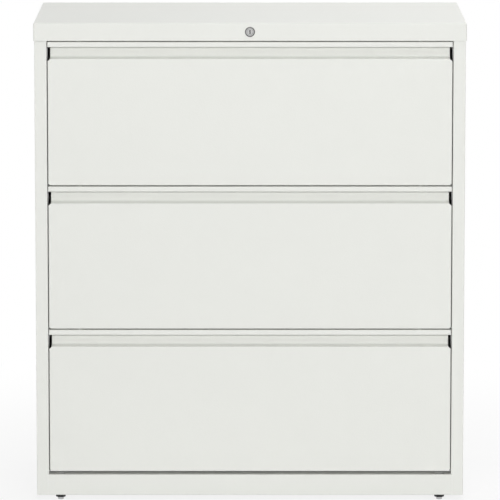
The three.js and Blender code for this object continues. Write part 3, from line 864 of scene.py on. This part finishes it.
BARREL = 0.0186
BEZEL = 0.0020  # thickness in front of the fascia
SHADE_PAINTED_BELOW = 0.0006  # below the bezel's face, from where the plating is dull and painted dark as shade in the groove and keyway
BORE = 0.0140
BEZEL_SHOULDER = 0.0004  # radius of the bezel's outer edge
RING_GROOVE = (0.0087, 0.0101, 0.0009)  # inner and outer radius, and depth, of the groove round the bezel
KEYWAY = Vector((0.0022, 0, 0.0084))
SHUTTER_DEPTH = 0.0014  # of the spring shutter that closes the keyway
WARD = Vector((0.0012, 0.01, 0.0013))  # a ridge along the keyway's wall
WARDS = (Vector((0.0011, 0, 0.0018)), Vector((-0.0011, 0, -0.0012)))
FACE_CHAMFER = 0.0003
TAIL = 0.0070


def lock_centre():
    """The point where the lock's axis crosses y = 0."""
    return Vector((0, 0, sum(reach("lock_barrel", "z")) / 2))


def shape_barrel():
    """The lock's barrel, with a bezel that has a rounded shoulder and a ring groove."""
    low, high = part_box("lock_barrel")
    centre = lock_centre()
    face, rim = low.y, high.x
    seat = reach("top_cap", "y")[0] - GAP / 3
    inner, outer, deep = RING_GROOVE
    shoulder = [
        (rim - BEZEL_SHOULDER * (1 - math.cos(turn)), face + BEZEL_SHOULDER * (1 - math.sin(turn)))
        for turn in (math.pi / 8 * step for step in range(5))]
    barrel = turned("barrel", "y", centre, [
        (BARREL / 2, high.y), (BARREL / 2, seat), (rim, seat), *shoulder,
        (outer, face), (outer, face + deep), (inner, face + deep), (inner, face), (BORE / 2, face)])
    combine(barrel, [rod("y", centre, BORE / 2, low.y - PAST, high.y + PAST)], "DIFFERENCE")
    ease(barrel, EASED / 2)
    return barrel


def shape_plug():
    """The plug that the key turns: its keyway is closed by a spring shutter just behind the face."""
    low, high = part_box("lock_plug")
    centre = lock_centre()
    radius = high.x
    tail = reach("lock_cam", "y")[0] - GAP
    plug = turned("plug", "y", centre, [
        (TAIL / 2, high.y), (TAIL / 2, tail), (radius, tail), (radius, low.y + FACE_CHAMFER),
        (radius - FACE_CHAMFER, low.y)])
    middle = Vector((0, low.y, centre.z))
    deep = Vector((0, SHUTTER_DEPTH, 0))
    keyway = block("keyway", middle - KEYWAY / 2 - deep, middle + KEYWAY / 2 + deep)
    wards = [block("ward", middle + ward - WARD / 2, middle + ward + WARD / 2) for ward in WARDS]
    combine(keyway, wards, "DIFFERENCE")
    combine(plug, [keyway], "DIFFERENCE")
    ease(plug, EASED / 2)
    return plug


# Levelling glides


NOSE = 0.0124
NOSE_FLAT = 0.0108
COLLAR_LOW, COLLAR_HIGH = 0.0052, 0.0109
COLLAR_CHAMFER = 0.0006
STEM = 0.0095
THREAD_DEEP = 0.0007
THREAD_PITCH = 0.0016
DRIVER_SLOT = Vector((0.012, 0.0014, 0.005))


def glide_place(glide):
    """The foot of a levelling glide's axis."""
    low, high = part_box(glide)
    return Vector(((low.x + high.x) / 2, (low.y + high.y) / 2, low.z))


def shape_stem(place, top):
    """Nose and threaded stem of a glide, slotted at the top for a driver."""
    round_off = (NOSE - NOSE_FLAT) / 2
    root = STEM / 2 - THREAD_DEEP
    profile = [(NOSE_FLAT / 2, 0), (NOSE / 2, round_off), (NOSE / 2, COLLAR_LOW), (root, COLLAR_LOW)]
    turns = int((top - COLLAR_HIGH - THREAD_PITCH) / THREAD_PITCH)
    for turn in range(turns):
        foot = COLLAR_HIGH + turn * THREAD_PITCH
        profile += [(root, foot), (STEM / 2, foot + 0.4 * THREAD_PITCH), (STEM / 2, foot + 0.6 * THREAD_PITCH)]
    profile += [(root, top - THREAD_PITCH), (root, top)]
    stem = turned("stem", "z", place, profile, 40)
    head = place + Vector((0, 0, top))
    combine(stem, [block("driver slot", head - DRIVER_SLOT / 2, head + DRIVER_SLOT / 2)], "DIFFERENCE")
    bpy.ops.object.shade_smooth_by_angle(angle=SMOOTH_BELOW)
    return stem


def shape_collar(place):
    """The six-sided collar that a wrench turns."""
    low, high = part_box(GLIDES[0])
    radius = (high.x - low.x) / 2
    small = radius - COLLAR_CHAMFER
    collar = turned("collar", "z", place, [
        (small, COLLAR_LOW), (radius, COLLAR_LOW + COLLAR_CHAMFER),
        (radius, COLLAR_HIGH - COLLAR_CHAMFER), (small, COLLAR_HIGH)], 6)
    with editing(collar):
        bpy.ops.mesh.select_all(action="SELECT")
        bpy.ops.transform.rotate(value=math.pi / 6, orient_axis="Z", center_override=place)
    combine(collar, [rod("z", place, STEM / 2, 0, COLLAR_HIGH + PAST)], "DIFFERENCE")
    ease(collar, EASED)
    return collar


# Operators


class CabinetStep:
    """What the steps share."""

    bl_options = {"REGISTER"}


def spread(first, part, body, slot, finish, node=None):
    """Copies a piece of the top drawer's right slide to both sides of each drawer."""
    top = reach("top_tub", "z")[1]
    for drawer in DRAWERS:
        drop = (0, 0, reach(f"{drawer}_tub", "z")[1] - top)
        for side in SIDES:
            piece = twin(first, f"{drawer}_{part}_{side}", drop, side == "left")
            nodes = [f"{drawer}_{node}_{side}"] if node else []
            settle(piece, body.format(drawer), slot, finish, *nodes)
    bpy.data.objects.remove(first, do_unlink=True)


class MESH_OT_cabinet_case(CabinetStep, bpy.types.Operator):
    """Top cap, side panels, back panel, base rails and uprights"""

    bl_idname = "mesh.cabinet_case"
    bl_label = "Case"

    def execute(self, context):
        sizes = context.scene.cabinet_sizes
        colours = context.scene.cabinet_colours
        settle(shape_cap(sizes), "cabinet", "paint", paint(colours), "top_cap")
        panel = shape_side_panel(sizes)
        settle(panel, "cabinet", "paint", paint(colours), "side_panel_right")
        settle(twin(panel, "panel_left", mirrored=True), "cabinet", "paint", paint(colours), "side_panel_left")
        settle(shape_back(sizes), "cabinet", "paint", paint(colours), "back_panel")
        for row in ("front", "rear"):
            rail = shape_base_rail(sizes, row)
            rail.name = f"rail_{row}"
            settle(rail, "cabinet", "paint", paint(colours), f"base_{row}_rail")
            upright = shape_upright(sizes, row)
            upright.name = f"slotted_upright_{row}_right"
            settle(upright, "cabinet", "zinc", zinc(colours), f"upright_{row}_right")
            other = twin(upright, f"slotted_upright_{row}_left", mirrored=True)
            settle(other, "cabinet", "zinc", zinc(colours), f"upright_{row}_left")
        return {"FINISHED"}


class MESH_OT_cabinet_drawers(CabinetStep, bpy.types.Operator):
    """Fronts, inner fronts, tubs and hanging rails of the three drawers"""

    bl_idname = "mesh.cabinet_drawers"
    bl_label = "Drawers"

    def execute(self, context):
        sizes = context.scene.cabinet_sizes
        colours = context.scene.cabinet_colours
        shapes = {"drawer_front": shape_drawer_front, "tub": shape_tub, "tub_back": shape_tub_back}
        for part, shape in shapes.items():
            first = shape(sizes)
            first.name = f"top_{part}_sheet"
            top = reach(f"top_{part}", "z")[1]
            for drawer in DRAWERS:
                drop = reach(f"{drawer}_{part}", "z")[1] - top
                piece = first if drawer == "top" else twin(first, f"{drawer}_{part}_sheet", (0, 0, drop))
                settle(piece, f"{drawer}_drawer", "paint", paint(colours), f"{drawer}_{part}")
        for drawer in DRAWERS:
            dress(f"{drawer}_inner_front", paint(colours))
            for part in ("hang_rail_front", "hang_rail_rear", "lock_catch"):
                dress(f"{drawer}_{part}", zinc(colours))
        return {"FINISHED"}


class MESH_OT_cabinet_slides(CabinetStep, bpy.types.Operator):
    """Telescopic slides of the three drawers, with their ball cages and rivets"""

    bl_idname = "mesh.cabinet_slides"
    bl_label = "Slides"

    def execute(self, context):
        sizes = context.scene.cabinet_sizes
        colours = context.scene.cabinet_colours
        for member, body in (("outer", "cabinet"), ("mid", "{}_slides"), ("inner", "{}_drawer")):
            spread(shape_slide_member(sizes, member), f"{member}_member", body, "zinc", zinc(colours),
                   f"slide_{member}")
        for wide, narrow, body in (("outer", "mid", "cabinet"), ("mid", "inner", "{}_slides")):
            spread(shape_cage(sizes, wide, narrow), f"{wide}_cage", body, "zinc", zinc(colours))
            spread(shape_balls(sizes, wide, narrow), f"{wide}_balls", body, "zinc", chrome(colours))
        spread(shape_rivets(sizes), "rivets", "{}_drawer", "zinc", zinc(colours))
        return {"FINISHED"}


class MESH_OT_cabinet_lock(CabinetStep, bpy.types.Operator):
    """Barrel, plug and works of the lock"""

    bl_idname = "mesh.cabinet_lock"
    bl_label = "Lock"

    def execute(self, context):
        colours = context.scene.cabinet_colours
        settle(shape_barrel(), "cabinet", "lock_metal", chrome(colours), "lock_barrel")
        settle(shape_plug(), "lock_core", "lock_metal", chrome(colours), "lock_plug")
        for node in ("lock_cam", "lock_link", "lock_bar", "lock_guide_upper", "lock_guide_lower"):
            dress(node, zinc(colours))
        return {"FINISHED"}


class MESH_OT_cabinet_glides(CabinetStep, bpy.types.Operator):
    """Levelling glides under the base"""

    bl_idname = "mesh.cabinet_glides"
    bl_label = "Glides"

    def execute(self, context):
        colours = context.scene.cabinet_colours
        first = glide_place(GLIDES[0])
        stem = shape_stem(first, reach(GLIDES[0], "z")[1])
        collar = shape_collar(first)
        for glide in GLIDES:
            shift = glide_place(glide) - first
            settle(twin(stem, f"{glide}_stem", shift), glide, "zinc", zinc(colours), glide)
            settle(twin(collar, f"{glide}_collar", shift), glide, "black_steel", black(colours), glide)
        for start in (stem, collar):
            bpy.data.objects.remove(start, do_unlink=True)
        return {"FINISHED"}


class SCENE_OT_cabinet_stage(CabinetStep, bpy.types.Operator):
    """Floor, lights, background and camera"""

    bl_idname = "scene.cabinet_stage"
    bl_label = "Stage"

    def execute(self, context):
        sizes = context.scene.cabinet_sizes
        colours = context.scene.cabinet_colours
        lay_floor(colours)
        hang_light("front panel", (0.1, -9.5, 2.9), (0, 0, 0.4), 9.0, 1.0, 538)
        hang_light("key panel", (0.2, -6.5, 6.6), (0, 0, 0.3), 4.5, 1.4, 62)
        hang_light("overhead panel", (0.9, -0.3, 3.2), (0.1, 0, 1.0), 3.0, 2.5, 38)
        hang_light("rear panel", (2.0, 7.0, 2.6), (0, 0, 0.5), 5.0, 2.0, 260)
        hang_light("left panel", (-7.0, 1.5, 2.6), (0, 0, 0.5), 4.0, 2.0, 130)
        fill_world(context.scene)
        set_camera(context.scene, sizes)
        context.scene.view_settings.view_transform = "Standard"
        return {"FINISHED"}


# Stage


AMBIENT = 0.12  # strength of the world's light on the object
FLOOR_SIZE = 60.0
FLOOR_NEAR, FLOOR_FAR = 0.4, 1.6  # the floor fades to white between these distances
FLOOR_GLOW = 0.84  # share of plain white near the cabinet


def seen_rays(finish):
    """1 for the rays that show the background itself, and 0 for those that light the object."""
    path = "ShaderNodeLightPath"
    camera = finish.node(path, output="Is Camera Ray")
    glossy = finish.node(path, output="Is Glossy Ray")
    through = finish.node(path, output="Is Transmission Ray")
    return camera.math("MAXIMUM", camera.math("MAXIMUM", camera, glossy), through)


def fill_floor(finish, tint):
    """A pale matt floor that fades to white away from the cabinet and keeps its shadow near it."""
    place = finish.node("ShaderNodeTexCoord", output="Object")
    away = finish.node("ShaderNodeVectorMath", {"operation": "LENGTH"}, {0: place}, "Value")
    glow = finish.node("ShaderNodeMapRange", {"interpolation_type": "SMOOTHSTEP"}, {
        "Value": away, "From Min": FLOOR_NEAR, "From Max": FLOOR_FAR, "To Min": FLOOR_GLOW, "To Max": 1.0})
    matt = finish.node("ShaderNodeBsdfDiffuse", sockets={"Color": (*tint, 1)})
    white = finish.node("ShaderNodeEmission", sockets={"Color": (1, 1, 1, 1), "Strength": 1.0})
    shader = finish.node("ShaderNodeMixShader", sockets={0: seen_rays(finish) * glow, 1: matt, 2: white})
    finish.node("ShaderNodeOutputMaterial", sockets={"Surface": shader})


def lay_floor(colours):
    """The studio floor."""
    half = FLOOR_SIZE / 2
    floor = strip("floor", Vector((-half, -half, 0)), Vector((FLOOR_SIZE, 0, 0)), Vector((0, FLOOR_SIZE, 0)))
    floor.data.materials.append(material("studio_floor", fill_floor, tuple(colours.floor)))


def hang_light(name, place, target, wide, high, power):
    """A soft panel that faces a point."""
    light = bpy.data.lights.new(name, "AREA")
    light.shape = "RECTANGLE"
    light.size = wide
    light.size_y = high
    light.energy = power
    lamp = bpy.data.objects.new(name, light)
    lamp.location = place
    lamp.rotation_euler = (Vector(target) - Vector(place)).to_track_quat("-Z", "Y").to_euler()
    lamp.visible_camera = False
    lamp.visible_glossy = False
    bpy.context.collection.objects.link(lamp)


def fill_world(scene):
    """White to the camera and in reflections, and a softer even light on the object."""
    scene.world = bpy.data.worlds.new("studio")
    scene.world.use_nodes = True
    finish = Finish(scene.world.node_tree)
    strength = AMBIENT + (1 - AMBIENT) * seen_rays(finish)
    light = finish.node("ShaderNodeBackground", sockets={"Color": (1, 1, 1, 1), "Strength": strength})
    finish.node("ShaderNodeOutputWorld", sockets={"Surface": light})


def set_camera(scene, sizes):
    """A far camera at the photograph's viewing angle."""
    lens = bpy.data.cameras.new("camera")
    lens.lens = sizes.camera_lens
    lens.sensor_width = 36.0
    lens.clip_end = 200.0
    camera = bpy.data.objects.new("camera", lens)
    camera.location = (0, -sizes.camera_distance, sizes.camera_height)
    camera.rotation_euler = (math.pi / 2 - sizes.camera_tilt, 0, 0)
    bpy.context.collection.objects.link(camera)
    scene.camera = camera


class VIEW3D_PT_cabinet(bpy.types.Panel):
    """The cabinet's sizes, colours and steps."""

    bl_label = "Cabinet"
    bl_space_type = "VIEW_3D"
    bl_region_type = "UI"
    bl_category = "Cabinet"

    def draw(self, context):
        for group in (context.scene.cabinet_sizes, context.scene.cabinet_colours):
            column = self.layout.column()
            for name in group.__annotations__:
                column.prop(group, name)
        for step in STEPS:
            self.layout.operator(step.bl_idname)


STEPS = (
    MESH_OT_cabinet_case,
    MESH_OT_cabinet_drawers,
    MESH_OT_cabinet_slides,
    MESH_OT_cabinet_lock,
    MESH_OT_cabinet_glides,
    SCENE_OT_cabinet_stage,
)
CLASSES = (CabinetSizes, CabinetColours, *STEPS, VIEW3D_PT_cabinet)


def register():
    for cls in CLASSES:
        bpy.utils.register_class(cls)
    bpy.types.Scene.cabinet_sizes = PointerProperty(type=CabinetSizes)
    bpy.types.Scene.cabinet_colours = PointerProperty(type=CabinetColours)


def unregister():
    del bpy.types.Scene.cabinet_colours
    del bpy.types.Scene.cabinet_sizes
    for cls in reversed(CLASSES):
        bpy.utils.unregister_class(cls)


def main():
    register()
    bpy.ops.mesh.cabinet_case()
    bpy.ops.mesh.cabinet_drawers()
    bpy.ops.mesh.cabinet_slides()
    bpy.ops.mesh.cabinet_lock()
    bpy.ops.mesh.cabinet_glides()
    bpy.ops.scene.cabinet_stage()


if __name__ == "__main__":
    main()
